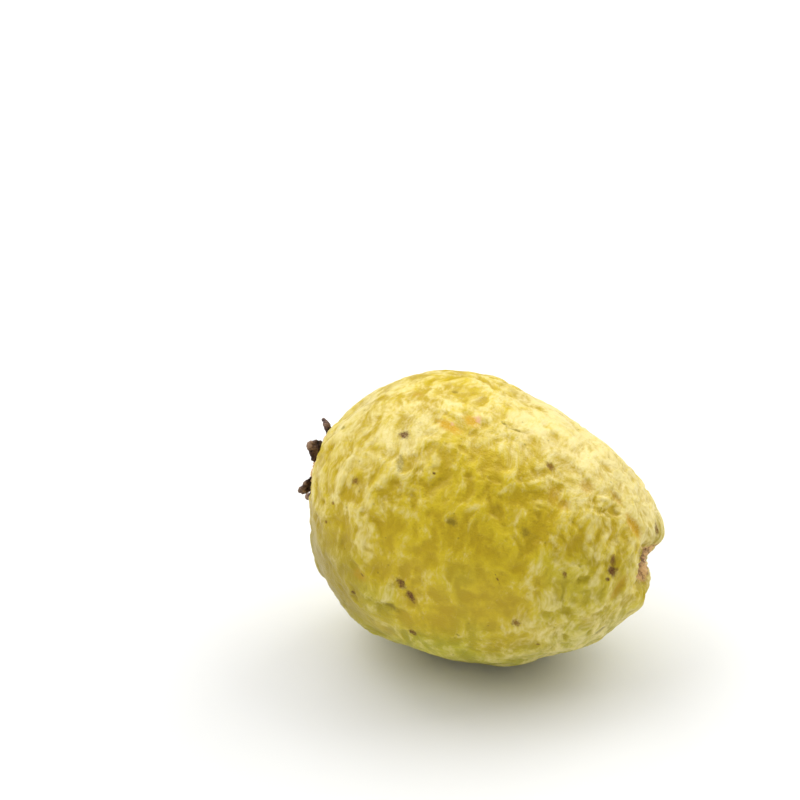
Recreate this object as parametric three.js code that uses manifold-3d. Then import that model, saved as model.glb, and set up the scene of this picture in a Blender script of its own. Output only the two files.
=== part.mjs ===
// A ripe guava, as picked: one whole fruit and the dried calyx at its blossom end.
// Millimetres, +Z up. The fruit lies on a small flat spot, with its stem end towards +X and a little down.
// The origin is the bottom centre of the bounding box.

import * as THREE from "three";
import { mergeVertices } from "three/addons/utils/BufferGeometryUtils.js";
import Module from "manifold-3d";

const wasm = await Module();
wasm.setup();

// Driving dimensions of the fruit
const fruitLength = 89;
const fruitDiameter = 70.6;
const widestBehindMiddle = fruitLength * 0.084; // the widest section lies nearer the blossom end
const shoulderFullness = fruitLength * 0.06; // how far the stem end is blunter than an egg's
const poleLift = fruitDiameter * 0.054; // both ends sit a little above the body's middle line
const bellySag = fruitDiameter * 0.018;
const bellyPlace = fruitLength * 0.1; // towards the stem end from the middle
const bellySpread = fruitLength * 0.16;
const restTilt = THREE.MathUtils.degToRad(10.4); // stem end down
const flatSpotDepth = 1; // how much the resting weight has flattened the lowest point
const gap = 0.3; // between the fruit and the calyx

// The pit where the stalk came away
const pitDepth = fruitLength * 0.062;
const pitRadius = fruitDiameter * 0.06;

// Round the stem end, angles are in degrees from the top of the fruit towards -Y.
// Creases run out of the pit; each is deepest where its reach says, and carved to the given depth and width.
const creases = [
  { angle: -68, depth: 0.9, width: 1.5, reach: 7 },
  { angle: -24, depth: 0.5, width: 1.2, reach: 8 },
  { angle: 30, depth: 1.5, width: 1.8, reach: 8.5 },
  { angle: 97, depth: 2, width: 2, reach: 6.5 },
  { angle: 168, depth: 2.2, width: 1.7, reach: 7 },
  { angle: 250, depth: 2.6, width: 3.4, reach: 6.5 },
];

// Lobes between the creases stand out beyond the round end, or lie back from it.
const endLobes = [
  { angle: -30, away: 18, height: 0.9, spread: 9 },
  { angle: 70, away: 5, height: -3.4, spread: 5 },
  { angle: 134, away: 9.5, height: 1.2, spread: 4.5 },
  { angle: 196, away: 10.5, height: 0.9, spread: 4.5 },
  { angle: 150, away: 19, height: 2.4, spread: 7.5 },
];

// Broad places where the side is flatter than the plain form, in mm along the axis, towards -Y and up.
const flatterPlaces = [
  { along: -37, front: -3, up: 20, depth: 2, spread: 10 },
  { along: 36, front: 11, up: -19, depth: 1.2, spread: 11 },
];

// Slow unevenness of the cross-section: lobes round the fruit, share of the radius, phase in degrees
const unevenness = [
  { lobes: 2, share: 0.012, phase: 65 },
  { lobes: 3, share: 0.009, phase: 20 },
  { lobes: 5, share: 0.006, phase: 140 },
];

// The calyx and the shallow hollow that it sits in
const hollowRadius = fruitDiameter * 0.128;
const hollowDepth = 2;
const hollowEdge = 0.8; // rounding of the hollow's edge
const discRadius = hollowRadius - gap - 0.2;
const discStandsProud = 0.4;
const sepalLength = 4.8;
const sepalBaseWidth = 7.4;
const sepalThickness = 1;

// Each dried lobe of the calyx: degrees from the top towards -Y, lean from the axis, share of the full length
const sepals = [
  { angle: -30, lean: 50, share: 0.85 },
  { angle: -106, lean: 36, share: 1 },
  { angle: 176, lean: 62, share: 0.75 },
  { angle: 108, lean: 66, share: 0.7 },
  { angle: 40, lean: 60, share: 0.8 },
];

const turnSegments = 60;
const bodySegments = 36;

// A three.js geometry as a manifold-3d solid.
function solidFrom(geometry) {
  const bare = geometry.clone();
  bare.deleteAttribute("normal");
  bare.deleteAttribute("uv");
  const merged = mergeVertices(bare, 1e-4);
  return new wasm.Manifold(
    new wasm.Mesh({
      numProp: 3,
      vertProperties: new Float32Array(merged.attributes.position.array),
      triVerts: new Uint32Array(merged.index.array),
    }),
  );
}

// A manifold-3d solid as a three.js geometry.
function geometryFrom(solid) {
  const mesh = solid.getMesh();
  const geometry = new THREE.BufferGeometry();
  geometry.setAttribute("position", new THREE.BufferAttribute(mesh.vertProperties, 3));
  geometry.setIndex(new THREE.BufferAttribute(mesh.triVerts, 1));
  geometry.computeVertexNormals();
  return geometry;
}

// The fruit's outline: radius and distance along the axis, from 0 at the stem end to PI at the blossom end.
function outlinePoint(turn) {
  const across = Math.sin(turn);
  const along = Math.cos(turn);
  const fullness = shoulderFullness * across ** 2 * Math.max(along, 0);
  const y = (fruitLength / 2) * along - widestBehindMiddle * across ** 2 + fullness;
  return new THREE.Vector2((fruitDiameter / 2) * across, y);
}

// Where the outline meets the edge of the calyx hollow.
const hollowTurn = Math.PI - Math.asin((2 * (hollowRadius + hollowEdge)) / fruitDiameter);
const hollowRimY = outlinePoint(hollowTurn).y;
const hollowFloorY = hollowRimY + hollowDepth;

// Blossom end to stem end, so that the faces point outwards.
function fruitProfile() {
  const points = [
    new THREE.Vector2(0, hollowFloorY),
    new THREE.Vector2(hollowRadius * 0.5, hollowFloorY),
    new THREE.Vector2(hollowRadius - hollowEdge, hollowFloorY),
    new THREE.Vector2(hollowRadius, hollowFloorY - hollowEdge),
    new THREE.Vector2(hollowRadius + 0.25 * hollowEdge, hollowRimY + 0.3 * hollowEdge),
  ];
  for (let i = 0; i <= bodySegments; i++) {
    const left = 1 - i / bodySegments;
    // The rings draw closer towards the stem end, where the pit and its creases are.
    points.push(outlinePoint(hollowTurn * left ** 1.7));
  }
  return points;
}

// A bump that is 1 at its middle and fades out over its spread.
function fade(distance, spread) {
  return Math.exp(-((distance / spread) ** 2));
}

// How far the stem end lies below the smooth outline, for a place at a radius and angle round the axis.
function stemEndDepth(radius, angle) {
  let depth = pitDepth * fade(radius, pitRadius);
  for (const crease of creases) {
    const turned = angle - THREE.MathUtils.degToRad(crease.angle);
    const apart = Math.abs(Math.atan2(Math.sin(turned), Math.cos(turned))) * radius;
    const reached = (radius / crease.reach) ** 2 * Math.exp(1 - (radius / crease.reach) ** 2);
    depth += crease.depth * reached * fade(apart, crease.width);
  }
  for (const lobe of endLobes) {
    const lobeAngle = THREE.MathUtils.degToRad(lobe.angle);
    const sideways = radius * Math.sin(angle) - lobe.away * Math.sin(lobeAngle);
    const upwards = radius * Math.cos(angle) - lobe.away * Math.cos(lobeAngle);
    depth -= lobe.height * fade(Math.hypot(sideways, upwards), lobe.spread);
  }
  return depth;
}

// How far a place outside the calyx hollow is pressed towards the middle of the fruit.
function pressedBy(place) {
  const outside = (Math.hypot(place.x, place.z) - hollowRadius - hollowEdge) / 4;
  let pressed = 0;
  for (const { along, front, up, depth, spread } of flatterPlaces) {
    const apart = Math.hypot(place.y - along, place.x - front, place.z - up);
    pressed += depth * fade(apart, spread);
  }
  return pressed * THREE.MathUtils.clamp(outside, 0, 1);
}

// How much wider than round the fruit is at an angle: nothing at the axis, all of it at full width.
function swelling(radius, angle) {
  const middling = Math.min(1, (2 * radius) / fruitDiameter) ** 2;
  let swell = 1;
  for (const wave of unevenness) {
    const phase = THREE.MathUtils.degToRad(wave.phase);
    swell += wave.share * middling * Math.cos(wave.lobes * angle + phase);
  }
  return swell;
}

// How far a section of the fruit sits above the straight axis. The whole hollow is lifted as one.
function lift(alongAxis) {
  const place = Math.max(alongAxis, hollowFloorY);
  const towardsEnd = Math.min(1, Math.abs(place) / (fruitLength / 2));
  return poleLift * towardsEnd ** 6 - bellySag * fade(place - bellyPlace, bellySpread);
}

function fruitGeometry() {
  const geometry = new THREE.LatheGeometry(fruitProfile(), turnSegments);
  const position = geometry.attributes.position;
  const place = new THREE.Vector3();
  for (let i = 0; i < position.count; i++) {
    place.fromBufferAttribute(position, i);
    const radius = Math.hypot(place.x, place.z);
    const angle = Math.atan2(place.x, place.z);
    const swell = swelling(radius, angle);
    const raised = lift(place.y);
    const carved = place.y > 0 ? stemEndDepth(radius, angle) : 0;
    const kept = 1 - pressedBy(place) / place.length();
    position.setXYZ(
      i,
      place.x * swell * kept,
      (place.y - carved) * kept,
      place.z * swell * kept + raised,
    );
  }
  return layAlongX(geometry);
}

// The lathe's axis, +Y, becomes the fruit's axis, +X.
function layAlongX(geometry) {
  return geometry.rotateZ(-Math.PI / 2);
}

// A dried sepal: a pointed leaf, thick enough to be one closed solid, leaning out from the disc's rim.
function sepalGeometry({ angle, lean, share }) {
  const length = sepalLength * share;
  const half = sepalBaseWidth / 2;
  const leaf = new THREE.Shape();
  leaf.moveTo(-half * 0.8, -0.8);
  leaf.quadraticCurveTo(-half * 1.1, length * 0.55, 0, length);
  leaf.quadraticCurveTo(half * 1.1, length * 0.55, half * 0.8, -0.8);
  const geometry = new THREE.ExtrudeGeometry(leaf, {
    depth: sepalThickness,
    bevelEnabled: false,
    curveSegments: 5,
  });
  geometry.translate(0, 0, -sepalThickness);
  geometry.rotateX(THREE.MathUtils.degToRad(lean));
  geometry.translate(0, 0, discRadius - 0.4);
  geometry.rotateY(THREE.MathUtils.degToRad(180 - angle)); // the crown is turned over afterwards
  return geometry;
}

// The calyx stands on +Y here, away from the fruit: a corky disc with the stub of the style, and its sepals.
function calyxGeometry() {
  const rimHeight = hollowDepth - gap + discStandsProud;
  const profile = [
    [0, 0],
    [discRadius - 0.6, 0],
    [discRadius, 0.5],
    [discRadius, rimHeight],
    [discRadius - 0.7, rimHeight + 0.4],
    [discRadius - 1.8, rimHeight],
    [discRadius * 0.62, rimHeight - 0.6],
    [discRadius * 0.3, rimHeight - 0.4],
    [1.1, rimHeight - 0.3],
    [0.8, rimHeight + 1],
    [0, rimHeight + 1.2],
  ].map(([x, y]) => new THREE.Vector2(x, y));
  let crown = solidFrom(new THREE.LatheGeometry(profile, 40));
  for (const sepal of sepals) {
    const lobe = sepalGeometry(sepal).translate(0, rimHeight - 0.3, 0);
    crown = crown.add(solidFrom(lobe));
  }
  const geometry = geometryFrom(crown);
  geometry.rotateX(Math.PI);
  geometry.translate(0, hollowFloorY - gap, 0);
  geometry.translate(0, 0, lift(hollowFloorY));
  return layAlongX(geometry);
}

// The fruit tilted as it rests, with its lowest point flattened.
function restingFruit() {
  const tilted = solidFrom(fruitGeometry().rotateY(restTilt));
  const low = tilted.boundingBox().min[2];
  const floor = new THREE.BoxGeometry(4 * fruitLength, 4 * fruitLength, fruitLength);
  floor.translate(0, 0, low + flatSpotDepth - fruitLength / 2);
  return geometryFrom(tilted.subtract(solidFrom(floor)));
}

const skin = new THREE.MeshStandardMaterial({ color: "#c9b83c", roughness: 0.45, metalness: 0 });
const driedCalyx = new THREE.MeshStandardMaterial({ color: "#5a4230", roughness: 0.9, metalness: 0 });

const fruit = new THREE.Mesh(restingFruit(), skin);
fruit.name = "fruit";

const calyx = new THREE.Mesh(calyxGeometry().rotateY(restTilt), driedCalyx);
calyx.name = "calyx";

const guava = new THREE.Group();
const onTheGround = new THREE.Group();
onTheGround.add(fruit, calyx);
guava.add(onTheGround);

// The bounding box's bottom centre goes to the origin.
const box = new THREE.Box3().setFromObject(onTheGround);
const middle = box.getCenter(new THREE.Vector3());
onTheGround.position.set(-middle.x, -middle.y, -box.min.z);

export default guava;
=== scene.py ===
import math

import bpy
import numpy as np
from mathutils import Matrix, Vector


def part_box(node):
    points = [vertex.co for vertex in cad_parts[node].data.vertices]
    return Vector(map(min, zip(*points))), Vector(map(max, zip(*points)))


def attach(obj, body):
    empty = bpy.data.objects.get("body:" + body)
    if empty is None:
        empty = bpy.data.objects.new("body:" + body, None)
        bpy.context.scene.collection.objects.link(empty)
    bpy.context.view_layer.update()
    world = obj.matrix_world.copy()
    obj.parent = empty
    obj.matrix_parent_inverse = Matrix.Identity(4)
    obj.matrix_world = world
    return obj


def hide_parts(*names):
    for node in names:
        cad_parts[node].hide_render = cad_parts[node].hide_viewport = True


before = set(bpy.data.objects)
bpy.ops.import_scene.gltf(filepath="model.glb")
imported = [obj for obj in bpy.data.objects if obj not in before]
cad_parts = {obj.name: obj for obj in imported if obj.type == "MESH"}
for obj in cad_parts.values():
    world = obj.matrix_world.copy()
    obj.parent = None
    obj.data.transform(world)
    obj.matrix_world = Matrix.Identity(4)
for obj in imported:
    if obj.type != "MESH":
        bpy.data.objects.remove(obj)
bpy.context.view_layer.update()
print("frame loaded, nodes:", sorted(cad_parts))

mm = 0.001
fruitLow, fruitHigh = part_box("fruit")
fruitMiddle = (fruitLow + fruitHigh) / 2
lieTilt = math.radians(10.4)  # the stem end lies this much low
# the fruit's own directions, in mm from its middle: X to the stem end, Y away and Z out of its top
fruitToFrame = Matrix.Translation(fruitMiddle) @ Matrix.Rotation(lieTilt, 4, "Y") @ Matrix.Scale(mm, 4)
frameToFruit = fruitToFrame.inverted()
pitCentre = Vector((44.5, 0, 2.6))  # the mouth of the pit where the stalk came away
hollowCentre = Vector((-41.3, 0, 1.25))  # the floor of the hollow that holds the calyx
calyxGap = 0.35  # mm from the floor of the hollow to the calyx
# the calyx is built upright in mm and laid in its hollow:
# its X is towards the fruit's top and its Z points out of the blossom end
calyxToFruit = Matrix((
    (0, 0, -1, hollowCentre.x - calyxGap),
    (0, 1, 0, 0),
    (1, 0, 0, hollowCentre.z),
    (0, 0, 0, 1),
))


def linearColour(hexColour):
    parts = [int(hexColour[i:i + 2], 16) / 255 for i in (1, 3, 5)]
    return tuple(p / 12.92 if p <= 0.04045 else ((p + 0.055) / 1.055) ** 2.4 for p in parts) + (1,)


def addNode(tree, kind, settings=None, inputs=None):
    node = tree.nodes.new(kind)
    for name, value in (settings or {}).items():
        setattr(node, name, value)
    for name, value in (inputs or {}).items():
        if isinstance(value, bpy.types.Node):
            value = value.outputs[0]
        if isinstance(value, bpy.types.NodeSocket):
            tree.links.new(value, node.inputs[name])
        else:
            node.inputs[name].default_value = value
    return node


def selectOnly(piece):
    bpy.ops.object.select_all(action="DESELECT")
    piece.select_set(True)
    bpy.context.view_layer.objects.active = piece


def addModifier(piece, kind, **settings):
    selectOnly(piece)
    modifier = piece.modifiers.new(kind.title(), kind)
    for name, value in settings.items():
        setattr(modifier, name, value)
    bpy.ops.object.modifier_apply(modifier=modifier.name)


def storeOnPoints(piece, name, values):
    attribute = piece.data.attributes.new(name, "FLOAT", "POINT")
    attribute.data.foreach_set("value", np.asarray(values, dtype=np.float32))


def readPoints(piece, what="co"):
    flat = np.empty(len(piece.data.vertices) * 3)
    piece.data.vertices.foreach_get(what, flat)
    return flat.reshape(-1, 3)


def movePoints(piece, points):
    piece.data.vertices.foreach_set("co", points.reshape(-1))
    piece.data.update()


def setStops(ramp, stops):
    for stop, hexColour in stops[1:-1]:
        ramp.color_ramp.elements.new(stop)
    for element, (stop, hexColour) in zip(ramp.color_ramp.elements, stops):
        element.position = stop
        element.color = linearColour(hexColour)


def placeInFruit(tree, position):  # a place in the frame, turned to the fruit's own directions, in mm
    centred = addNode(tree, "ShaderNodeVectorMath", {"operation": "SUBTRACT"},
                      {0: position, 1: fruitMiddle})
    turned = addNode(tree, "ShaderNodeVectorRotate", {"rotation_type": "Y_AXIS"},
                     {"Vector": centred, "Angle": -lieTilt})
    return addNode(tree, "ShaderNodeVectorMath", {"operation": "SCALE"}, {0: turned, "Scale": 1 / mm})


# A share that goes by the distance from a spot: 0 at the mm where it starts, and whole where it is full.
# A noise may make its edge ragged.
def shareRound(tree, place, spot, noise=None):
    apart = addNode(tree, "ShaderNodeVectorMath", {"operation": "DISTANCE"}, {0: place, 1: spot["middle"]})
    apart = apart.outputs["Value"]
    if noise:
        apart = addNode(tree, "ShaderNodeMath", {"operation": "MULTIPLY_ADD"},
                        {0: noise, 1: spot["ragged"], 2: apart})
    return addNode(tree, "ShaderNodeMapRange", {"interpolation_type": "SMOOTHSTEP"}, {
        "Value": apart,
        "From Min": spot["start"],
        "From Max": spot["full"],
        "To Max": spot.get("share", 1),
    })


def addLayers(tree, place, layers, share=1, total=0):  # noises stacked up, each a height in mm
    for layer in layers:
        stretched = addNode(tree, "ShaderNodeVectorMath", {"operation": "DIVIDE"},
                            {0: place, 1: layer["size"]})
        value = addNode(tree, "ShaderNodeTexNoise", {},
                        {"Vector": stretched, "Scale": 1, "Detail": layer["detail"], "Roughness": 0.55})
        if layer["ridged"]:
            value = addNode(tree, "ShaderNodeMath", {"operation": "PINGPONG"}, {0: value, 1: 0.5})
        height = addNode(tree, "ShaderNodeMapRange", {"interpolation_type": "SMOOTHSTEP"}, {
            "Value": value,
            "From Min": layer["from"],
            "From Max": layer["upTo"],
            "To Max": layer["height"],
        })
        total = addNode(tree, "ShaderNodeMath", {"operation": "MULTIPLY_ADD"},
                        {0: height, 1: share, 2: total})
    return total


def startRelief(name):
    tree = bpy.data.node_groups.new(name, "GeometryNodeTree")
    tree.interface.new_socket("Geometry", in_out="INPUT", socket_type="NodeSocketGeometry")
    tree.interface.new_socket("Geometry", in_out="OUTPUT", socket_type="NodeSocketGeometry")
    return tree, placeInFruit(tree, addNode(tree, "GeometryNodeInputPosition"))


def applyRelief(piece, tree, height, crests):  # moves points out by the height, and keeps the crests
    start = addNode(tree, "NodeGroupInput")
    kept = addNode(tree, "GeometryNodeStoreNamedAttribute", {"data_type": "FLOAT", "domain": "POINT"},
                   {"Geometry": start, "Name": "crests", "Value": crests})
    step = addNode(tree, "ShaderNodeMath", {"operation": "MULTIPLY"}, {0: height, 1: mm})
    offset = addNode(tree, "ShaderNodeVectorMath", {"operation": "SCALE"},
                     {0: addNode(tree, "GeometryNodeInputNormal"), "Scale": step})
    moved = addNode(tree, "GeometryNodeSetPosition", {}, {"Geometry": kept, "Offset": offset})
    addNode(tree, "NodeGroupOutput", {}, {0: moved})
    addModifier(piece, "NODES", node_group=tree)


# Fruit body

bodyShape = {
    "cuts": 63,  # the cube that is rounded into the fruit has this many cuts along each side
    "gather": 0.42,  # share by which its squares are drawn together towards the stem end
    "clearance": 4,  # mm that it starts outside the CAD fruit, before it is wrapped onto it
}


def smoothCadFruit():
    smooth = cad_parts["fruit"].copy()
    smooth.data = smooth.data.copy()
    bpy.context.collection.objects.link(smooth)
    selectOnly(smooth)
    bpy.ops.object.mode_set(mode="EDIT")
    bpy.ops.mesh.select_all(action="SELECT")
    bpy.ops.mesh.remove_doubles(threshold=0.002 * mm)
    bpy.ops.mesh.tris_convert_to_quads()
    bpy.ops.object.mode_set(mode="OBJECT")
    addModifier(smooth, "SUBSURF", levels=2, render_levels=2)
    return smooth


def roundedCube(name):
    bpy.ops.object.select_all(action="DESELECT")
    bpy.ops.mesh.primitive_cube_add(size=2)
    body = bpy.context.object
    body.name = name
    bpy.ops.object.mode_set(mode="EDIT")
    bpy.ops.mesh.subdivide(number_cuts=bodyShape["cuts"])
    bpy.ops.transform.tosphere(value=1)
    bpy.ops.object.mode_set(mode="OBJECT")
    reach = (fruitHigh - fruitLow) / 2 / mm + Vector((1, 1, 1)) * bodyShape["clearance"]
    for corner in body.data.vertices:
        way = corner.co.normalized()
        fromStem = math.acos(max(-1, min(1, way.x)))
        fromStem *= 1 - bodyShape["gather"] * (1 + way.x) / 2
        ring = Vector((0, way.y, way.z)).normalized() * math.sin(fromStem)
        corner.co = Vector((math.cos(fromStem) * reach.x, ring.y * reach.y, ring.z * reach.z))
    body.data.transform(fruitToFrame)
    return body


def makeBody():
    smooth = smoothCadFruit()
    body = roundedCube("guavaBody")
    addModifier(body, "SHRINKWRAP", target=smooth, wrap_method="PROJECT",
                use_negative_direction=True, use_positive_direction=True)
    bpy.data.objects.remove(smooth)
    addModifier(body, "SMOOTH", factor=0.5, iterations=2)
    addModifier(body, "SUBSURF", levels=1, render_levels=1)
    return body


# Skin relief. Sizes are mm along the fruit, away from the front and up; heights are mm.

skinRelief = {
    "lumps": [
        {"size": (15, 13, 13), "detail": 0, "ridged": False, "from": 0.25, "upTo": 0.75, "height": 0.9},
    ],
    "crinkles": [  # swellings and dents that run mostly across the fruit
        {"size": (4.6, 6.4, 6.4), "detail": 1, "ridged": False, "from": 0.34, "upTo": 0.66, "height": 0.46},
        {"size": (2.1, 3.3, 3.3), "detail": 2, "ridged": False, "from": 0.36, "upTo": 0.64, "height": 0.36},
        {"size": (3.6, 4.2, 4.2), "detail": 0.5, "ridged": False, "from": 0.41, "upTo": 0.26,
         "height": -0.5},
        {"size": (1.1, 1.4, 1.4), "detail": 1, "ridged": False, "from": 0.3, "upTo": 0.7, "height": 0.1},
    ],
    "pleats": [
        {"size": (1, 1, 1), "detail": 0, "ridged": True, "from": 0.32, "upTo": 0.5, "height": 0.75},
    ],
    "middleHeight": 0.4,  # of the crinkles, so that they rise and sink about the smooth skin
    "lowered": 0.75,  # mm, the lumps' middle height and a little more, to keep to the CAD fruit
    "drift": 6,  # mm by which a slow noise bends the pattern, so that nothing lines up
    "driftSize": 9,
    "patchSize": 19,  # mm across stretches with more or fewer crinkles
    "calm": 0.28,  # share of the crinkles left where the skin is smooth
}

# folds that run into the pit; the mm at which they start and are full are from the pit's axis
pleatPattern = {
    "around": 4.2,  # how often they repeat round the pit
    "drift": 0.07,  # how fast they change outwards
    "start": 16,
    "full": 6,
    "innerStart": 1.5,
    "innerFull": 5,
    "alongStart": 20,  # these two are mm along the fruit
    "alongFull": 32,
}

# Smooth stretches of skin: their middle, and the mm at which the crinkles start and are full
smoothPlaces = [
    {"middle": (-26, 2, 30), "start": 6, "full": 27},
    {"middle": (8, -22, -30), "start": 12, "full": 31},
    {"middle": (6, -34, 2), "start": 3, "full": 14},
    {"middle": (-6, 20, -30), "start": 10, "full": 32},
    {"middle": (44, -4, 0), "start": 8, "full": 24},
]


def crinkleStrength(tree, place):
    patches = addNode(tree, "ShaderNodeTexNoise", {},
                      {"Vector": place, "Scale": 1 / skinRelief["patchSize"], "Detail": 1})
    strength = addNode(tree, "ShaderNodeMapRange", {"interpolation_type": "SMOOTHSTEP"},
                       {"Value": patches, "From Min": 0.36, "From Max": 0.56, "To Min": 0.45})
    for smooth in smoothPlaces:
        strength = addNode(tree, "ShaderNodeMath", {"operation": "MULTIPLY"},
                           {0: strength, 1: shareRound(tree, place, smooth)})
    return addNode(tree, "ShaderNodeMath", {"operation": "MAXIMUM"}, {0: strength, 1: skinRelief["calm"]})


def pleatPlace(tree, place):  # a place that changes mostly round the pit, and how strong the folds are there
    fromPit = addNode(tree, "ShaderNodeVectorMath", {"operation": "SUBTRACT"}, {0: place, 1: pitCentre})
    sideways = addNode(tree, "ShaderNodeVectorMath", {"operation": "MULTIPLY"}, {0: fromPit, 1: (0, 1, 1)})
    around = addNode(tree, "ShaderNodeVectorMath", {"operation": "NORMALIZE"}, {0: sideways})
    slowly = addNode(tree, "ShaderNodeVectorMath", {"operation": "SCALE"},
                     {0: fromPit, "Scale": pleatPattern["drift"]})
    ray = addNode(tree, "ShaderNodeVectorMath", {"operation": "MULTIPLY_ADD"},
                  {0: around, 1: Vector((1, 1, 1)) * pleatPattern["around"], 2: slowly})
    away = addNode(tree, "ShaderNodeVectorMath", {"operation": "LENGTH"}, {0: sideways}).outputs["Value"]
    outwards = addNode(tree, "ShaderNodeMapRange", {"interpolation_type": "SMOOTHSTEP"}, {
        "Value": away,
        "From Min": pleatPattern["start"],
        "From Max": pleatPattern["full"],
    })
    inwards = addNode(tree, "ShaderNodeMapRange", {"interpolation_type": "SMOOTHSTEP"}, {
        "Value": away,
        "From Min": pleatPattern["innerStart"],
        "From Max": pleatPattern["innerFull"],
    })
    share = addNode(tree, "ShaderNodeMath", {"operation": "MULTIPLY"}, {0: outwards, 1: inwards})
    atStemEnd = addNode(tree, "ShaderNodeMapRange", {}, {
        "Value": addNode(tree, "ShaderNodeSeparateXYZ", {}, {0: place}).outputs["X"],
        "From Min": pleatPattern["alongStart"],
        "From Max": pleatPattern["alongFull"],
    })
    return ray, addNode(tree, "ShaderNodeMath", {"operation": "MULTIPLY"}, {0: share, 1: atStemEnd})


def bendPlace(tree, place):
    drift = addNode(tree, "ShaderNodeTexNoise", {},
                    {"Vector": place, "Scale": 1 / skinRelief["driftSize"], "Detail": 1})
    return addNode(tree, "ShaderNodeVectorMath", {"operation": "MULTIPLY_ADD"},
                   {0: drift.outputs["Color"], 1: Vector((1, 1, 1)) * skinRelief["drift"], 2: place})


def roughenSkin(body):
    tree, place = startRelief("skinRelief")
    bent = bendPlace(tree, place)
    crests = addLayers(tree, bent, skinRelief["crinkles"])
    risen = addNode(tree, "ShaderNodeMath", {"operation": "SUBTRACT"},
                    {0: crests, 1: skinRelief["middleHeight"]})
    risen = addNode(tree, "ShaderNodeMath", {"operation": "MULTIPLY"},
                    {0: risen, 1: crinkleStrength(tree, place)})
    ray, pleated = pleatPlace(tree, place)
    height = addLayers(tree, ray, skinRelief["pleats"], pleated, risen)
    height = addLayers(tree, bent, skinRelief["lumps"], 1, height)
    height = addNode(tree, "ShaderNodeMath", {"operation": "SUBTRACT"},
                     {0: height, 1: skinRelief["lowered"]})
    applyRelief(body, tree, height, crests)


# Marks on the skin, by kind. Tone is the colour: 0 dark brown, 0.25 brown, 0.5 olive, 0.75 orange, 1 pink.
# Strength is how far a mark covers the skin, and sink is its depth in mm.

markKinds = {
    "darkScab": {"tone": 0.12, "strength": 0.85, "sink": 0.2},
    "brownRub": {"tone": 0.28, "strength": 0.75, "sink": 0.1},
    "oliveStain": {"tone": 0.47, "strength": 0.55, "sink": 0.2},
    "goldDent": {"tone": 0.68, "strength": 0.65, "sink": 0.5},
    "orangeRub": {"tone": 0.75, "strength": 0.9, "sink": 0.3},
    "pinkGraze": {"tone": 1, "strength": 0.85, "sink": 0},
    "bareDent": {"tone": 0.5, "strength": 0, "sink": 1.3},
}

markReach = 14  # mm from its middle past which a mark does nothing
farFromMarks = 9.0  # in radii of a mark

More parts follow.
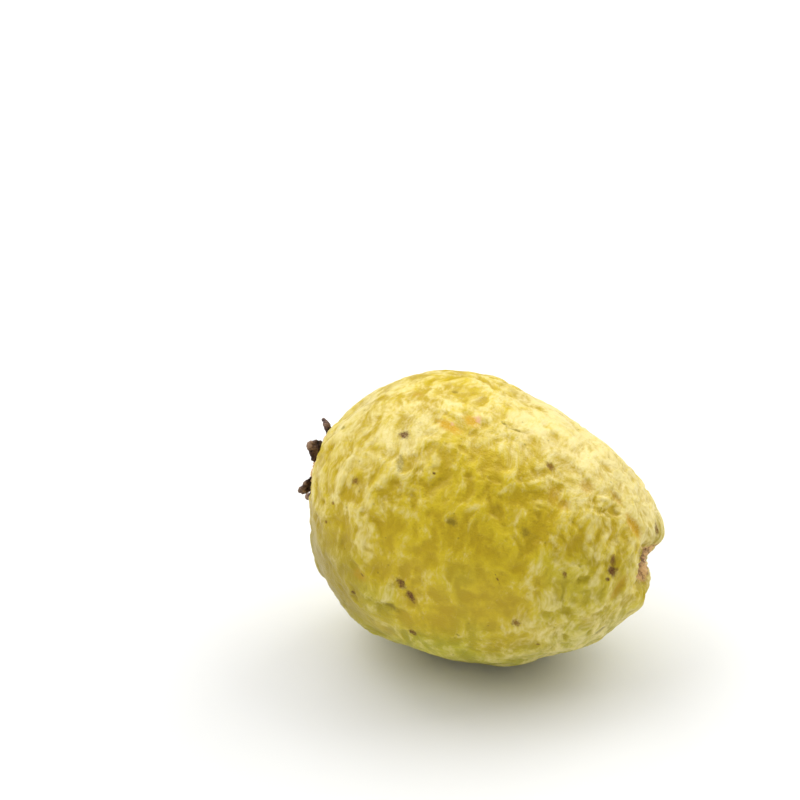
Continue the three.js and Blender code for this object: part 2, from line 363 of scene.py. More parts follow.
# Along is mm from the middle to the stem end, and round is degrees from the top to the front.
# Size is the mm radius of the short side, and turn goes from along to round.
marks = [
    {"kind": "darkScab", "along": -21, "round": 33, "size": 1.0, "stretch": 1.4, "turn": 10},
    {"kind": "oliveStain", "along": -19.3, "round": 46, "size": 0.9, "stretch": 2.2, "turn": 75},
    {"kind": "brownRub", "along": -28.4, "round": 59, "size": 0.9, "stretch": 1.1, "turn": 0},
    {"kind": "oliveStain", "along": -37.9, "round": 27, "size": 0.5, "stretch": 1.5, "turn": 0},
    {"kind": "goldDent", "along": -22, "round": 8, "size": 0.7, "stretch": 2.0, "turn": 10, "sink": 0.1},
    {"kind": "oliveStain", "along": -14, "round": 2, "size": 0.6, "stretch": 1.2, "turn": 0},
    {"kind": "orangeRub", "along": -6.8, "round": 17, "size": 1.4, "stretch": 1.4, "turn": 20},
    {"kind": "pinkGraze", "along": -5.4, "round": 15, "size": 0.8, "stretch": 1.4, "turn": 80},
    {"kind": "orangeRub", "along": -11.2, "round": 24, "size": 1.3, "stretch": 2.4, "turn": 15},
    {"kind": "pinkGraze", "along": -10.8, "round": 22, "size": 0.6, "stretch": 1.5, "turn": 70},
    {"kind": "oliveStain", "along": 0.3, "round": 12, "size": 0.35, "stretch": 3.5, "turn": 30},
    {"kind": "oliveStain", "along": 3.4, "round": 13, "size": 0.3, "stretch": 5.0, "turn": -5},
    {"kind": "brownRub", "along": 14.8, "round": 23, "size": 0.7, "stretch": 1.8, "turn": 20},
    {"kind": "goldDent", "along": 24.2, "round": 24, "size": 1.7, "stretch": 1.1, "turn": 0},
    {"kind": "goldDent", "along": 17.6, "round": 36, "size": 1.3, "stretch": 1.5, "turn": 75},
    {"kind": "goldDent", "along": 20.7, "round": 39, "size": 1.2, "stretch": 1.2, "turn": 0},
    {"kind": "oliveStain", "along": -2.8, "round": 63, "size": 0.8, "stretch": 1.7, "turn": 5, "sink": 0.5},
    {"kind": "darkScab", "along": -10.5, "round": 46, "size": 0.35, "stretch": 1.2, "turn": 0},
    {"kind": "oliveStain", "along": 13.9, "round": 58, "size": 0.9, "stretch": 1.3, "turn": 30},
    {"kind": "darkScab", "along": 35.8, "round": 65, "size": 1.2, "stretch": 1.1, "turn": 0},
    {"kind": "brownRub", "along": 35.0, "round": 58, "size": 0.7, "stretch": 2.0, "turn": 70},
    {"kind": "darkScab", "along": 35.4, "round": 71, "size": 0.5, "stretch": 1.2, "turn": 0},
    {"kind": "brownRub", "along": 25.8, "round": 72, "size": 0.5, "stretch": 2.2, "turn": 60},
    {"kind": "brownRub", "along": 11.2, "round": 81, "size": 0.18, "stretch": 11, "turn": 52},
    {"kind": "darkScab", "along": -10.6, "round": 95, "size": 0.9, "stretch": 1.6, "turn": 40},
    {"kind": "darkScab", "along": -8.2, "round": 99, "size": 0.9, "stretch": 1.9, "turn": 55},
    {"kind": "goldDent", "along": -21.2, "round": 99, "size": 1.2, "stretch": 1.5, "turn": 0, "sink": 0},
    {"kind": "darkScab", "along": -21.0, "round": 98, "size": 0.5, "stretch": 1.6, "turn": 20},
    {"kind": "darkScab", "along": -22.6, "round": 110, "size": 0.5, "stretch": 1.3, "turn": 0},
    {"kind": "oliveStain", "along": -12, "round": 107, "size": 0.8, "stretch": 2.6, "turn": 20},
    {"kind": "darkScab", "along": -6.2, "round": 117, "size": 0.8, "stretch": 1.3, "turn": 30},
    {"kind": "brownRub", "along": 18.0, "round": 101, "size": 0.9, "stretch": 1.2, "turn": 30},
    {"kind": "brownRub", "along": 23.3, "round": 117, "size": 0.4, "stretch": 1.3, "turn": 0},
    {"kind": "oliveStain", "along": 5, "round": 112, "size": 0.4, "stretch": 1.3, "turn": 0},
    {"kind": "brownRub", "along": -33.7, "round": 86, "size": 0.4, "stretch": 1.2, "turn": 0},
    {"kind": "brownRub", "along": -33.2, "round": 75, "size": 0.5, "stretch": 1.1, "turn": 0},
    {"kind": "oliveStain", "along": 36.4, "round": 123, "size": 0.7, "stretch": 2.6, "turn": -25},
    {"kind": "orangeRub", "along": 37.2, "round": 25, "size": 1.2, "stretch": 2.8, "turn": 14, "sink": 0.7},
    {"kind": "goldDent", "along": 31, "round": 17, "size": 0.8, "stretch": 2.6, "turn": 20},
    {"kind": "bareDent", "along": 41, "round": 50, "size": 4.2, "stretch": 1.5, "turn": 90},
    {"kind": "goldDent", "along": 38.4, "round": 78, "size": 1.2, "stretch": 2.8, "turn": 119, "sink": 0.8},
    {"kind": "brownRub", "along": 42.1, "round": 0, "size": 0.7, "stretch": 2.6, "turn": 60},
    {"kind": "darkScab", "along": -5, "round": -60, "size": 0.9, "stretch": 1.3, "turn": 30},
    {"kind": "darkScab", "along": -2, "round": -54, "size": 0.5, "stretch": 1.6, "turn": 60},
    {"kind": "brownRub", "along": 12, "round": -95, "size": 1.1, "stretch": 2.0, "turn": 60},
    {"kind": "darkScab", "along": -20, "round": -110, "size": 0.7, "stretch": 1.2, "turn": 0},
    {"kind": "goldDent", "along": 22, "round": -40, "size": 1.2, "stretch": 1.2, "turn": 0},
    {"kind": "orangeRub", "along": -27, "round": -35, "size": 1.2, "stretch": 1.7, "turn": 15},
    {"kind": "darkScab", "along": 30, "round": -85, "size": 0.6, "stretch": 1.4, "turn": 0},
    {"kind": "brownRub", "along": 3, "round": -125, "size": 0.25, "stretch": 9, "turn": 35},
    {"kind": "oliveStain", "along": -14, "round": -80, "size": 1.0, "stretch": 1.3, "turn": 0},
    {"kind": "darkScab", "along": 4, "round": 160, "size": 0.8, "stretch": 2.0, "turn": 50},
    {"kind": "darkScab", "along": 26, "round": -140, "size": 0.8, "stretch": 1.2, "turn": 0},
    {"kind": "goldDent", "along": -30, "round": 150, "size": 0.9, "stretch": 1.6, "turn": 20, "sink": 0.1},
]


def putMarks(body):
    points = readPoints(body)
    normals = readPoints(body, "normal")
    turned = np.array(frameToFruit.to_3x3().normalized())
    inFruit = (points - np.array(fruitMiddle)) @ turned.T / mm
    facing = normals @ turned.T
    radius = np.hypot(inFruit[:, 1], inFruit[:, 2])
    roundAngle = np.arctan2(-inFruit[:, 1], inFruit[:, 2])
    edge = np.full(len(points), farFromMarks)
    tone = np.zeros(len(points))
    strength = np.zeros(len(points))
    for mark in marks:
        kind = markKinds[mark["kind"]]
        apart = radius * np.abs(np.angle(np.exp(1j * (roundAngle - math.radians(mark["round"])))))
        nearest = np.argmin(apart ** 2 + (inFruit[:, 0] - mark["along"]) ** 2)
        out = facing[nearest]
        lengthwise = np.cross(np.cross(out, (1, 0, 0)), out)
        lengthwise /= np.linalg.norm(lengthwise)
        roundwise = np.cross(lengthwise, out)
        turn = math.radians(mark["turn"])
        longSide = math.cos(turn) * lengthwise + math.sin(turn) * roundwise
        shortSide = math.cos(turn) * roundwise - math.sin(turn) * lengthwise
        offset = inFruit - inFruit[nearest]
        longShare = offset @ longSide / (mark["size"] * mark["stretch"])
        shortShare = offset @ shortSide / mark["size"]
        farSide = np.where(np.linalg.norm(offset, axis=1) > markReach, farFromMarks, 0)
        distance = np.hypot(longShare, shortShare) + farSide
        tone = np.where(distance < edge, kind["tone"], tone)
        strength = np.where(distance < edge, kind["strength"], strength)
        edge = np.minimum(edge, distance)
        sink = mark.get("sink", kind["sink"]) * mm
        points -= normals * (sink * np.exp(-distance ** 2))[:, None]
    movePoints(body, points)
    storeOnPoints(body, "markEdge", edge)
    storeOnPoints(body, "markTone", tone)
    storeOnPoints(body, "markStrength", strength)


def restOnFloor(body):
    points = readPoints(body)
    points[:, 2] = np.maximum(points[:, 2], 0)
    movePoints(body, points)


body = makeBody()
print("body wrapped:", len(body.data.vertices), "points")
roughenSkin(body)
putMarks(body)
restOnFloor(body)
bpy.ops.object.shade_smooth()
print("skin relief and marks made")


# Guava skin: a living waxy cuticle over soft flesh. It is satin and deeply coloured, under a bloom of pale
# wax. Its colour also holds painted light: painted highlight where the pale is laid on thicker, and painted
# shade where it is taken off at the front and low on the calyx side.

skinColours = {
    # hollow and crest colours: the hollows are painted deeper and the crests paler, as painted shade and
    # highlight on the relief
    "goldHollowShaded": "#bd9f00",
    "goldCrestLit": "#d6bc14",
    # painted shade low at the front of the calyx side
    "shadedGold": "#948000",
    "greenHollowShaded": "#aaa008",
    "greenCrestLit": "#c8be30",
    # pale wax bloom, which also carries the painted highlight
    "bloomAndHighlight": "#eede98",
    "pore": "#7d6a14",
    "scar": "#6b4a30",
    "cork": "#e2b87a",
    # dark cracked cork, also used as painted shade at the pit's floor
    "darkCorkAndShade": "#6a4018",
}

# mm across the grains of each pattern
skinGrains = {
    "mottle": 0.9,
    "slow": 20,  # patches that are more golden or greener
    "pores": 2.4,  # from one pore to the next
    "ragged": 0.8,  # edges of the marks
    "fine": 0.45,
    "torn": 1.5,  # shreds of the cork
}
bumpDepth = 0.18  # mm

# Spots with a colour put on them, two of which are painted shade: the middle, the mm at which it starts and
# is full, its share, and the mm by which its edge is ragged
# painted shade low at the front of the calyx side
lowShadeSpot = {"middle": (-30, -20, -14), "start": 27, "full": 6, "share": 0.8}
corkSpot = {"middle": (38.5, 0.6, 1.8), "start": 9.4, "full": 7.9, "ragged": 4}
# painted shade at the floor of the pit
pitFloorShadeSpot = {"middle": (38.5, 0.6, 1.8), "start": 4.6, "full": 1.8, "share": 0.85}
scarSpot = {"middle": hollowCentre, "start": 12.4, "full": 11.2, "share": 0.9, "ragged": 4}

# the bloom's grains, streaks and patches
bloomLayers = [
    {"size": (0.7, 1.2, 1.2), "share": 0.5},
    {"size": (1.9, 3.8, 3.8), "share": 0.6},
    {"size": (9, 9, 9), "share": 0.35},
]

# Painted highlight and reflection where the skin is made paler, and, with a share below 0, painted shade
# where it is made less pale
paintedLightPlaces = [
    {"middle": (20, 8, 34), "start": 38, "full": 8, "share": 0.25},
    {"middle": (42, 5, 12), "start": 17, "full": 4, "share": 0.16},
    {"middle": (-26, -12, 24), "start": 30, "full": 8, "share": 0.13},
    {"middle": (28, -20, -18), "start": 24, "full": 6, "share": 0.11},
    {"middle": (2, -30, 16), "start": 30, "full": 8, "share": -0.13},
    {"middle": (-28, -22, -16), "start": 26, "full": 8, "share": -0.2},
    {"middle": (2, -33, -10), "start": 24, "full": 6, "share": -0.1},
]

markTones = [(0, "#4a2408"), (0.25, "#7c4c12"), (0.5, "#7a690a"), (0.75, "#d0a214"), (1, "#e0ac80")]


def paintRipeness(tree, place, crests, mottle):  # gold with paler crests and deeper hollows as painted highlight and shade, painted shade low at the front of the calyx side, and greener underneath
    axes = addNode(tree, "ShaderNodeSeparateXYZ", {}, {0: place})
    slow = addNode(tree, "ShaderNodeTexNoise", {},
                   {"Vector": place, "Scale": 1 / skinGrains["slow"], "Detail": 2})
    greener = addNode(tree, "ShaderNodeMath", {"operation": "MULTIPLY_ADD"},
                      {0: axes.outputs["Z"], 1: -0.015, 2: slow})
    greener = addNode(tree, "ShaderNodeMath", {"operation": "MULTIPLY_ADD"},
                      {0: axes.outputs["X"], 1: 0.003, 2: greener})
    green = addNode(tree, "ShaderNodeMapRange", {"interpolation_type": "SMOOTHSTEP"},
                    {"Value": greener, "From Min": 0.42, "From Max": 0.9})
    shadedHollowColour = addNode(tree, "ShaderNodeMix", {"data_type": "RGBA"}, {
        0: green,
        6: linearColour(skinColours["goldHollowShaded"]),
        7: linearColour(skinColours["greenHollowShaded"]),
    })
    litCrestColour = addNode(tree, "ShaderNodeMix", {"data_type": "RGBA"}, {
        0: green,
        6: linearColour(skinColours["goldCrestLit"]),
        7: linearColour(skinColours["greenCrestLit"]),
    })
    # painted highlight on the crests and painted shade in the hollows, broken up by the mottle
    lifted = addNode(tree, "ShaderNodeMath", {"operation": "MULTIPLY_ADD"}, {0: mottle, 1: 0.7, 2: crests})
    litCrestShare = addNode(tree, "ShaderNodeMapRange", {"interpolation_type": "SMOOTHSTEP"},
                         {"Value": lifted, "From Min": 0.35, "From Max": 1.2})
    colour = addNode(tree, "ShaderNodeMix", {"data_type": "RGBA"},
                     {0: litCrestShare, 6: shadedHollowColour.outputs[2], 7: litCrestColour.outputs[2]}).outputs[2]
    # painted shade low at the front of the calyx side
    lowShade = shareRound(tree, place, lowShadeSpot)
    return addNode(tree, "ShaderNodeMix", {"data_type": "RGBA"},
                   {0: lowShade, 6: colour, 7: linearColour(skinColours["shadedGold"])}).outputs[2]


def paintBloomAndHighlight(tree, place, crests, colour):  # pale grains that gather into patches, mostly on the crests, part wax bloom and part painted highlight, with painted light at the listed places
    bent = bendPlace(tree, place)
    # more pale on the crests: painted highlight
    bloomAndHighlightShare = addNode(tree, "ShaderNodeMath", {"operation": "MULTIPLY"}, {0: crests, 1: 0.3})
    for layer in bloomLayers:
        stretched = addNode(tree, "ShaderNodeVectorMath", {"operation": "DIVIDE"},
                            {0: bent, 1: layer["size"]})
        patches = addNode(tree, "ShaderNodeTexNoise", {}, {"Vector": stretched, "Scale": 1, "Detail": 2})
        bloomAndHighlightShare = addNode(tree, "ShaderNodeMath", {"operation": "MULTIPLY_ADD"},
                          {0: patches, 1: layer["share"], 2: bloomAndHighlightShare})
    # painted highlight and shade at the listed places
    for bloomAndHighlight in paintedLightPlaces:
        bloomAndHighlightShare = addNode(tree, "ShaderNodeMath", {"operation": "ADD"},
                          {0: bloomAndHighlightShare, 1: shareRound(tree, place, bloomAndHighlight)})
    bloomAndHighlightShare = addNode(tree, "ShaderNodeMapRange", {"interpolation_type": "SMOOTHSTEP"},
                      {"Value": bloomAndHighlightShare, "From Min": 0.75, "From Max": 1.24, "To Max": 0.85})
    return addNode(tree, "ShaderNodeMix", {"data_type": "RGBA"},
                   {0: bloomAndHighlightShare, 6: colour, 7: linearColour(skinColours["bloomAndHighlight"])}).outputs[2]


def paintPores(tree, place, colour):  # olive dots about 0.6 mm across, on some of the cells
    pores = addNode(tree, "ShaderNodeTexVoronoi", {}, {"Vector": place, "Scale": 1 / skinGrains["pores"]})
    chosen = addNode(tree, "ShaderNodeMapRange", {"interpolation_type": "SMOOTHSTEP"}, {
        "Value": addNode(tree, "ShaderNodeSeparateXYZ", {}, {0: pores.outputs["Color"]}),
        "From Min": 0.6,
        "From Max": 0.9,
        "To Max": 0.5,
    })
    pore = addNode(tree, "ShaderNodeMapRange", {"interpolation_type": "SMOOTHSTEP"},
                   {"Value": pores.outputs["Distance"], "From Min": 0.16, "From Max": 0.05})
    pore = addNode(tree, "ShaderNodeMath", {"operation": "MULTIPLY"}, {0: pore, 1: chosen})
    return addNode(tree, "ShaderNodeMix", {"data_type": "RGBA"},
                   {0: pore, 6: colour, 7: linearColour(skinColours["pore"])}).outputs[2]


def paintMarks(tree, place, fine, colour):  # scuffs and rub marks, ragged and mottled
    edge = addNode(tree, "ShaderNodeAttribute", {"attribute_name": "markEdge"}).outputs["Fac"]
    tone = addNode(tree, "ShaderNodeAttribute", {"attribute_name": "markTone"}).outputs["Fac"]
    strength = addNode(tree, "ShaderNodeAttribute", {"attribute_name": "markStrength"}).outputs["Fac"]
    ragged = addNode(tree, "ShaderNodeTexNoise", {},
                     {"Vector": place, "Scale": 1 / skinGrains["ragged"], "Detail": 3, "Roughness": 0.6})
    raggedEdge = addNode(tree, "ShaderNodeMath", {"operation": "MULTIPLY_ADD"},
                         {0: ragged, 1: 1.8, 2: edge})
    share = addNode(tree, "ShaderNodeMapRange", {"interpolation_type": "SMOOTHSTEP"},
                    {"Value": raggedEdge, "From Min": 2.45, "From Max": 1.3, "To Max": 1.2})
    grained = addNode(tree, "ShaderNodeMapRange", {},
                      {"Value": fine, "From Min": 0.35, "From Max": 0.6, "To Min": 0.7})
    share = addNode(tree, "ShaderNodeMath", {"operation": "MULTIPLY"}, {0: share, 1: strength})
    share = addNode(tree, "ShaderNodeMath", {"operation": "MULTIPLY"}, {0: share, 1: grained})
    ramp = addNode(tree, "ShaderNodeValToRGB", {}, {0: tone})
    setStops(ramp, markTones)
    colour = addNode(tree, "ShaderNodeMix", {"data_type": "RGBA"}, {0: share, 6: colour, 7: ramp})
    return colour.outputs[2], share


def paintCork(tree, place, torn, colour):  # dry cork where the stalk tore away, with painted shade darkest at the pit's floor
    corkColour = addNode(tree, "ShaderNodeValToRGB", {}, {0: torn})
    setStops(corkColour, [(0.32, skinColours["darkCorkAndShade"]), (0.52, skinColours["cork"])])
    # painted shade at the pit's floor
    floor = shareRound(tree, place, pitFloorShadeSpot)
    corkColour = addNode(tree, "ShaderNodeMix", {"data_type": "RGBA"},
                         {0: floor, 6: corkColour, 7: linearColour(skinColours["darkCorkAndShade"])}).outputs[2]
    share = shareRound(tree, place, corkSpot, torn)
    colour = addNode(tree, "ShaderNodeMix", {"data_type": "RGBA"}, {0: share, 6: colour, 7: corkColour})
    return colour.outputs[2], share


def makeSkin():
    skin = bpy.data.materials.new("guavaSkin")
    skin.use_nodes = True
    tree = skin.node_tree
    tree.nodes.clear()
    place = placeInFruit(tree, addNode(tree, "ShaderNodeTexCoord").outputs["Object"])
    crests = addNode(tree, "ShaderNodeAttribute", {"attribute_name": "crests"}).outputs["Fac"]
    mottle = addNode(tree, "ShaderNodeTexNoise", {},
                     {"Vector": place, "Scale": 1 / skinGrains["mottle"], "Detail": 3, "Roughness": 0.65})
    fine = addNode(tree, "ShaderNodeTexNoise", {},
                   {"Vector": place, "Scale": 1 / skinGrains["fine"], "Detail": 2})
    torn = addNode(tree, "ShaderNodeTexNoise", {},
                   {"Vector": place, "Scale": 1 / skinGrains["torn"], "Detail": 4, "Roughness": 0.6})

    colour = paintRipeness(tree, place, crests, mottle)
    colour = paintBloomAndHighlight(tree, place, crests, colour)
    colour = paintPores(tree, place, colour)
    colour, markShare = paintMarks(tree, place, fine, colour)
    colour, corkShare = paintCork(tree, place, torn, colour)
    scarShare = shareRound(tree, place, scarSpot, torn)  # the dead brown edge round the calyx
    colour = addNode(tree, "ShaderNodeMix", {"data_type": "RGBA"},
                     {0: scarShare, 6: colour, 7: linearColour(skinColours["scar"])}).outputs[2]

    # the wax's gloss goes with the mottle, and the marks, the cork and the scar are dull
    dry = addNode(tree, "ShaderNodeMath", {"operation": "MAXIMUM"}, {0: markShare, 1: corkShare})
    dry = addNode(tree, "ShaderNodeMath", {"operation": "MAXIMUM"}, {0: dry, 1: scarShare})
    rough = addNode(tree, "ShaderNodeMapRange", {}, {"Value": mottle, "To Min": 0.34, "To Max": 0.54})
    rough = addNode(tree, "ShaderNodeMath", {"operation": "MULTIPLY_ADD"}, {0: dry, 1: 0.3, 2: rough})

    bumpHeight = addNode(tree, "ShaderNodeMath", {"operation": "MULTIPLY_ADD"},
                         {0: fine, 1: 0.35, 2: mottle})
    bumpHeight = addNode(tree, "ShaderNodeMath", {"operation": "MULTIPLY_ADD"},
                         {0: torn, 1: corkShare, 2: bumpHeight})
    bump = addNode(tree, "ShaderNodeBump", {},
                   {"Height": bumpHeight, "Distance": bumpDepth * mm, "Strength": 1})
    shader = addNode(tree, "ShaderNodeBsdfPrincipled", {"subsurface_method": "RANDOM_WALK"}, {
        "Base Color": colour,
        "Roughness": rough,
        "IOR": 1.45,
        "Subsurface Weight": 0.1,
        "Subsurface Radius": (1, 0.75, 0.2),
        "Subsurface Scale": 1.5 * mm,
        "Specular IOR Level": 0.36,
        "Coat Weight": 0.18,
        "Coat Roughness": 0.32,
        "Coat IOR": 1.45,
        "Normal": bump,
    })
    addNode(tree, "ShaderNodeOutputMaterial", {}, {"Surface": shader})
    return skin


body.data.materials.append(makeSkin())
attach(body, "root")
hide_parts("fruit")
print("skin material made")


# Calyx: the corky scar of the flower, dished and cracked, with a ragged rim and the stub of the style

calyxDisc = {
    "corners": 72,
    "radius": 8.1,
    "thickness": 1,
    # radius and height of each step up the rim, down the dish and up the stub
    "outline": [(8.35, 1.6), (8.1, 2.3), (7.4, 2.45), (6.7, 1.9), (5.6, 1.45), (4.2, 1.4),
                (2.8, 1.6), (1.6, 1.8), (1, 2.2), (0.8, 3), (0.45, 3.15)],
    "relief": [
        {"size": (5, 5, 5), "detail": 2, "ridged": False, "from": 0.62, "upTo": 0.38, "height": -0.6},
        {"size": (2.2, 2.2, 2.2), "detail": 3, "ridged": True, "from": 0.42, "upTo": 0.5, "height": -0.4},
        {"size": (0.9, 0.9, 0.9), "detail": 2, "ridged": False, "from": 0.25, "upTo": 0.75, "height": 0.3},
    ],
}


def makeDisc():
    bpy.ops.object.select_all(action="DESELECT")
    bpy.ops.mesh.primitive_cylinder_add(vertices=calyxDisc["corners"], radius=calyxDisc["radius"],
                                        depth=calyxDisc["thickness"])
    disc = bpy.context.object
    disc.name = "calyxDisc"
    disc.data.transform(Matrix.Translation((0, 0, calyxDisc["thickness"] / 2)))
    bpy.ops.object.mode_set(mode="EDIT")
    bpy.ops.mesh.select_all(action="DESELECT")
    bpy.ops.object.mode_set(mode="OBJECT")
    for face in disc.data.polygons:
        face.select = face.normal.z > 0.9
    bpy.ops.object.mode_set(mode="EDIT")
    lastRadius, lastHeight = calyxDisc["radius"], calyxDisc["thickness"]
    for radius, height in calyxDisc["outline"]:
        bpy.ops.mesh.extrude_region_move(TRANSFORM_OT_translate={"value": (0, 0, height - lastHeight)})
        share = radius / lastRadius
        bpy.ops.transform.resize(value=(share, share, 1), center_override=(0, 0, 0))
        lastRadius, lastHeight = radius, height
    bpy.ops.object.mode_set(mode="OBJECT")
    disc.data.transform(fruitToFrame @ calyxToFruit)
    addModifier(disc, "SUBSURF", levels=2, render_levels=2)
    tree, place = startRelief("corkRelief")
    height = addLayers(tree, place, calyxDisc["relief"])
    applyRelief(disc, tree, height, height)
    bpy.ops.object.shade_smooth()
    return disc


# Sepals: dead, dry and curled, each a thin leaf drawn out from the rim

sepalShape = {
    "base": 6.4,
    "thickness": 0.28,
    "boat": 0.05,  # how much its edges turn up, for each square mm from its middle line
    "rimRadius": 7.7,
    "rimHeight": 1.9,
    # mm of each step outwards, share of the last width, and degrees that it curls
    "steps": [(0.8, 1.02, 0), (0.9, 0.9, -4), (0.9, 0.82, 6),
              (0.8, 0.72, 10), (0.7, 0.55, 12), (0.5, 0.35, 8)],
    "relief": [
        {"size": (2.6, 2.6, 2.6), "detail": 1, "ridged": False, "from": 0.3, "upTo": 0.7, "height": 0.4},
        {"size": (1.1, 1.1, 1.1), "detail": 2, "ridged": True, "from": 0.3, "upTo": 0.5, "height": 0.25},
    ],
}

# each sepal's degrees round from the fruit's top to its front, its degrees of lean from the calyx's axis
# and its share of the full size
sepals = [
    {"round": -30, "lean": 50, "share": 0.85},
    {"round": -106, "lean": 36, "share": 0.95},
    {"round": 176, "lean": 62, "share": 0.75},
    {"round": 108, "lean": 66, "share": 0.7},
    {"round": 40, "lean": 60, "share": 0.8},
]


def makeSepalLeaf():  # drawn out along X from a base line along Y
    bpy.ops.object.select_all(action="DESELECT")
    bpy.ops.mesh.primitive_grid_add(x_subdivisions=1, y_subdivisions=6, size=1)
    leaf = bpy.context.object
    leaf.data.transform(Matrix.Diagonal((1, sepalShape["base"], 1, 1)))
    bpy.ops.object.mode_set(mode="EDIT")
    bpy.ops.mesh.select_mode(type="EDGE")
    bpy.ops.mesh.select_all(action="DESELECT")
    bpy.ops.object.mode_set(mode="OBJECT")
    for line in leaf.data.edges:
        line.select = all(leaf.data.vertices[i].co.x > 0.4 for i in line.vertices)
    bpy.ops.object.mode_set(mode="EDIT")
    direction = 0
    for length, widthShare, curl in sepalShape["steps"]:
        direction += math.radians(curl)
        step = (length * math.cos(direction), 0, length * math.sin(direction))
        bpy.ops.mesh.extrude_region_move(TRANSFORM_OT_translate={"value": step})
        bpy.ops.transform.resize(value=(1, widthShare, 1), center_override=(0, 0, 0))
    bpy.ops.object.mode_set(mode="OBJECT")
    for corner in leaf.data.vertices:  # a shallow boat across its width
        corner.co.z += sepalShape["boat"] * corner.co.y ** 2
    addModifier(leaf, "SOLIDIFY", thickness=sepalShape["thickness"], offset=0)
    return leaf


def makeSepals():
    leaf = makeSepalLeaf()
    made = []
    for number, sepal in enumerate(sepals, 1):
        piece = leaf.copy()
        piece.data = leaf.data.copy()
        piece.name = f"sepal{number}"
        bpy.context.collection.objects.link(piece)
        aroundAxis = Matrix.Rotation(-math.radians(sepal["round"]), 4, "Z")
        outToRim = Matrix.Translation((sepalShape["rimRadius"], 0, sepalShape["rimHeight"]))
        leaned = Matrix.Rotation(math.radians(sepal["lean"] - 90), 4, "Y")
        piece.data.transform(fruitToFrame @ calyxToFruit @ aroundAxis @ outToRim @ leaned
                             @ Matrix.Scale(sepal["share"], 4))
        addModifier(piece, "SUBSURF", levels=2, render_levels=2)
        tree, place = startRelief("shrivel")
        height = addLayers(tree, place, sepalShape["relief"])
        applyRelief(piece, tree, height, height)
        bpy.ops.object.shade_smooth()
        made.append(piece)
    bpy.data.objects.remove(leaf)
    return made


# Cork: dead, open and dusty, with no gloss; darker where its relief sinks into dents and cracks

corkTones = [(0.12, "#38201c"), (0.4, "#9c6c3e"), (0.72, "#e0b67e")]
corkFibre = 0.8  # mm across


def makeCork():
    cork = bpy.data.materials.new("dryCork")
    cork.use_nodes = True
    tree = cork.node_tree
    tree.nodes.clear()
    place = placeInFruit(tree, addNode(tree, "ShaderNodeTexCoord").outputs["Object"])
    crests = addNode(tree, "ShaderNodeAttribute", {"attribute_name": "crests"}).outputs["Fac"]
    fibre = addNode(tree, "ShaderNodeTexNoise", {}, {"Vector": place, "Scale": 1 / corkFibre, "Detail": 4})
    lifted = addNode(tree, "ShaderNodeMath", {"operation": "MULTIPLY_ADD"}, {0: fibre, 1: 0.5, 2: crests})
    ramp = addNode(tree, "ShaderNodeValToRGB", {}, {
        0: addNode(tree, "ShaderNodeMapRange", {}, {"Value": lifted, "From Min": -0.5, "From Max": 0.4}),
    })
    setStops(ramp, corkTones)
    bump = addNode(tree, "ShaderNodeBump", {}, {"Height": fibre, "Distance": 0.3 * mm, "Strength": 1})
    shader = addNode(tree, "ShaderNodeBsdfPrincipled", {},
                     {"Base Color": ramp, "Roughness": 0.85, "IOR": 1.45, "Normal": bump})
    addNode(tree, "ShaderNodeOutputMaterial", {}, {"Surface": shader})
    return cork


# Dried sepal: leaf gone to a brittle brown film, with a slight sheen

leafTones = [(0.35, "#2c1a18"), (0.65, "#553c35"), (0.95, "#94765c")]
leafVeins = 0.7  # mm apart


def makeDriedLeaf():
    leaf = bpy.data.materials.new("driedSepal")
    leaf.use_nodes = True
    tree = leaf.node_tree
    tree.nodes.clear()
    place = placeInFruit(tree, addNode(tree, "ShaderNodeTexCoord").outputs["Object"])
    crests = addNode(tree, "ShaderNodeAttribute", {"attribute_name": "crests"}).outputs["Fac"]
    vein = addNode(tree, "ShaderNodeTexNoise", {}, {"Vector": place, "Scale": 1 / leafVeins, "Detail": 4})
    lifted = addNode(tree, "ShaderNodeMath", {"operation": "MULTIPLY_ADD"}, {0: vein, 1: 0.6, 2: crests})
    ramp = addNode(tree, "ShaderNodeValToRGB", {}, {0: lifted})
    setStops(ramp, leafTones)
    bump = addNode(tree, "ShaderNodeBump", {}, {"Height": vein, "Distance": 0.2 * mm, "Strength": 1})
    shader = addNode(tree, "ShaderNodeBsdfPrincipled", {},
                     {"Base Color": ramp, "Roughness": 0.6, "IOR": 1.45, "Normal": bump})
    addNode(tree, "ShaderNodeOutputMaterial", {}, {"Surface": shader})
    return leaf


disc = makeDisc()
disc.data.materials.append(makeCork())
sepalPieces = makeSepals()
driedLeaf = makeDriedLeaf()
for piece in sepalPieces:
    piece.data.materials.append(driedLeaf)
for piece in [disc] + sepalPieces:
    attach(piece, "root")
    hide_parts("calyx")
print("calyx made:", 1 + len(sepalPieces), "pieces")


# Table, lights and camera

# directions from the fruit: azimuth 0 is towards the front, and 90 towards the stem end
studio = {
    "azimuth": 17.2,
    "elevation": 27,
    "lens": 100,
    "distance": 0.5556,
    "fruitRight": 21 * mm,  # the fruit sits this far right of the middle of the view
    "fruitBelow": 29.7 * mm,
    "surround": 0.64,  # brightness of the white room
    "tableDrop": 0.01 * mm,  # so that the fruit's flat spot and the table don't share a plane
}

# distances and sizes in metres, power in watts
softLights = [
    {"name": "keyBehindRight", "azimuth": 142, "elevation": 44, "distance": 0.8, "size": 0.75, "power": 4.4},
    {"name": "topBehind", "azimuth": -130, "elevation": 58, "distance": 0.9, "size": 0.8, "power": 3.6},
    {"name": "frontLeft", "azimuth": -66, "elevation": 50, "distance": 0.8, "size": 0.6, "power": 2.1},
]


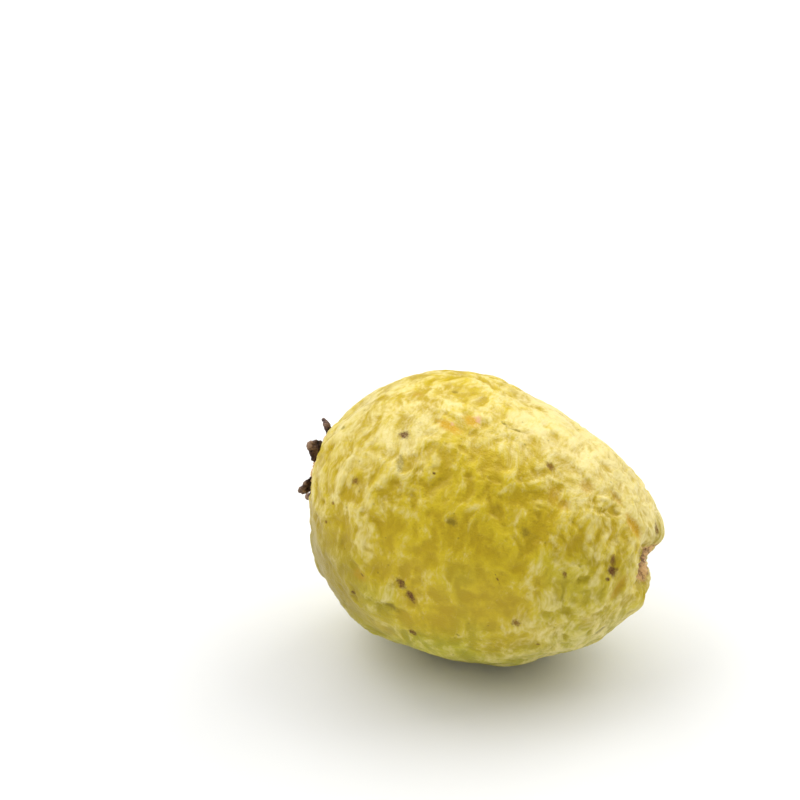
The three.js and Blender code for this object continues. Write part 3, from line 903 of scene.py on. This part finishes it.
def makeTable():
    bpy.ops.object.select_all(action="DESELECT")
    bpy.ops.mesh.primitive_plane_add(size=6)
    table = bpy.context.object
    table.name = "table"
    table.data.transform(Matrix.Translation((0, 0, -studio["tableDrop"])))
    white = bpy.data.materials.new("matteWhiteBoard")
    white.use_nodes = True
    shader = white.node_tree.nodes["Principled BSDF"]
    shader.inputs["Base Color"].default_value = linearColour("#e8e8e6")
    shader.inputs["Roughness"].default_value = 0.8
    table.data.materials.append(white)


def directionTo(azimuth, elevation):
    a, e = math.radians(azimuth), math.radians(elevation)
    return Vector((math.sin(a) * math.cos(e), -math.cos(a) * math.cos(e), math.sin(e)))


def addSoftLights():
    for light in softLights:
        lamp = bpy.data.lights.new(light["name"], "AREA")
        lamp.shape = "SQUARE"
        lamp.size = light["size"]
        lamp.energy = light["power"]
        holder = bpy.data.objects.new(light["name"], lamp)
        bpy.context.collection.objects.link(holder)
        toLight = directionTo(light["azimuth"], light["elevation"])
        holder.location = fruitMiddle + toLight * light["distance"]
        holder.rotation_euler = toLight.to_track_quat("Z", "Y").to_euler()


def lightRoom():
    room = bpy.data.worlds.new("whiteRoom")
    bpy.context.scene.world = room
    room.use_nodes = True
    background = room.node_tree.nodes["Background"]
    background.inputs["Color"].default_value = linearColour("#f7f8fa")
    background.inputs["Strength"].default_value = studio["surround"]
    room.cycles_visibility.glossy = False  # dark flags round the set keep the wax from going milky


def makeCamera():
    lens = bpy.data.cameras.new("camera")
    lens.lens = studio["lens"]
    camera = bpy.data.objects.new("camera", lens)
    bpy.context.collection.objects.link(camera)
    back = directionTo(studio["azimuth"], studio["elevation"])
    turn = back.to_track_quat("Z", "Y")
    right, up = turn @ Vector((1, 0, 0)), turn @ Vector((0, 1, 0))
    aim = fruitMiddle - right * studio["fruitRight"] + up * studio["fruitBelow"]
    camera.location = aim + back * studio["distance"]
    camera.rotation_euler = turn.to_euler()
    bpy.context.scene.camera = camera


makeTable()
addSoftLights()
lightRoom()
makeCamera()
bpy.context.scene.view_settings.view_transform = "Standard"
print("table, lights and camera set")
